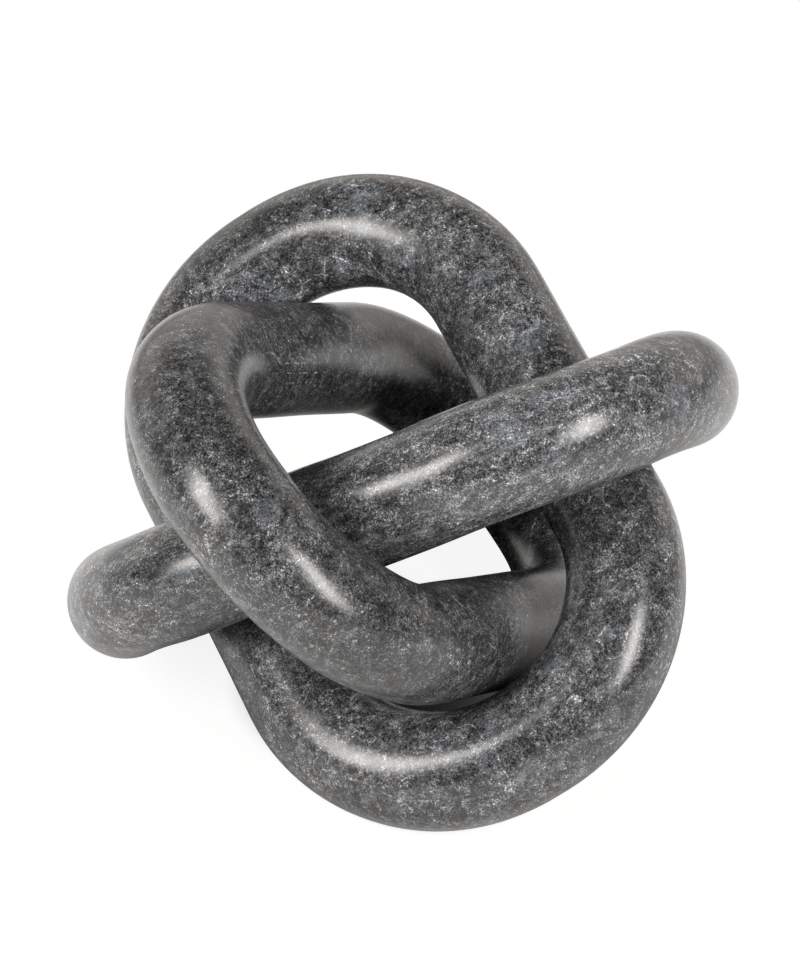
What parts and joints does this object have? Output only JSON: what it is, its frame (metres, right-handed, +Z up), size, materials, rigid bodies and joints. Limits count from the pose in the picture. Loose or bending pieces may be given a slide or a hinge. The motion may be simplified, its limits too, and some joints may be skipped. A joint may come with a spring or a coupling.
{
  "type": "marble chain sculpture",
  "caption": "Interlocked oval links of polished dark grey marble, nested loosely through each other and standing on their ends as a table ornament.",
  "frame": {"origin": "on the table, under the middle of the nest's bounding box", "axes": "+Z up from the table; -Y towards the pictured side; +X to the right as pictured"},
  "size_m": [0.1998, 0.2002, 0.1394],
  "materials": {
    "front_link_marble": "polished dark grey marble, fine pale crystals and soft lighter clouds",
    "left_link_marble": "polished dark grey marble, fine pale crystals and soft darker clouds",
    "cross_link_marble": "polished dark grey marble, fine pale crystals and a few thin pale veins"
  },
  "bodies": {
    "left_link_body": {"left_link": "left_link_marble"},
    "front_link_body": {"front_link": "front_link_marble"},
    "cross_link_body": {"cross_link": "cross_link_marble"}
  },
  "joints": [
    {"name": "front_link_rock", "type": "hinge", "parent": "left_link_body", "child": "front_link_body", "pos_m": [-0.00059, 0.00198, 0.06895], "axis": [0.9336, -0.3584, 0], "range_deg": [0, 34]},
    {"name": "cross_link_rock", "type": "hinge", "parent": "left_link_body", "child": "cross_link_body", "pos_m": [0, 0.00089, 0.06821], "axis": [-0.829, -0.5592, 0], "range_deg": [0, 16]}
  ]
}
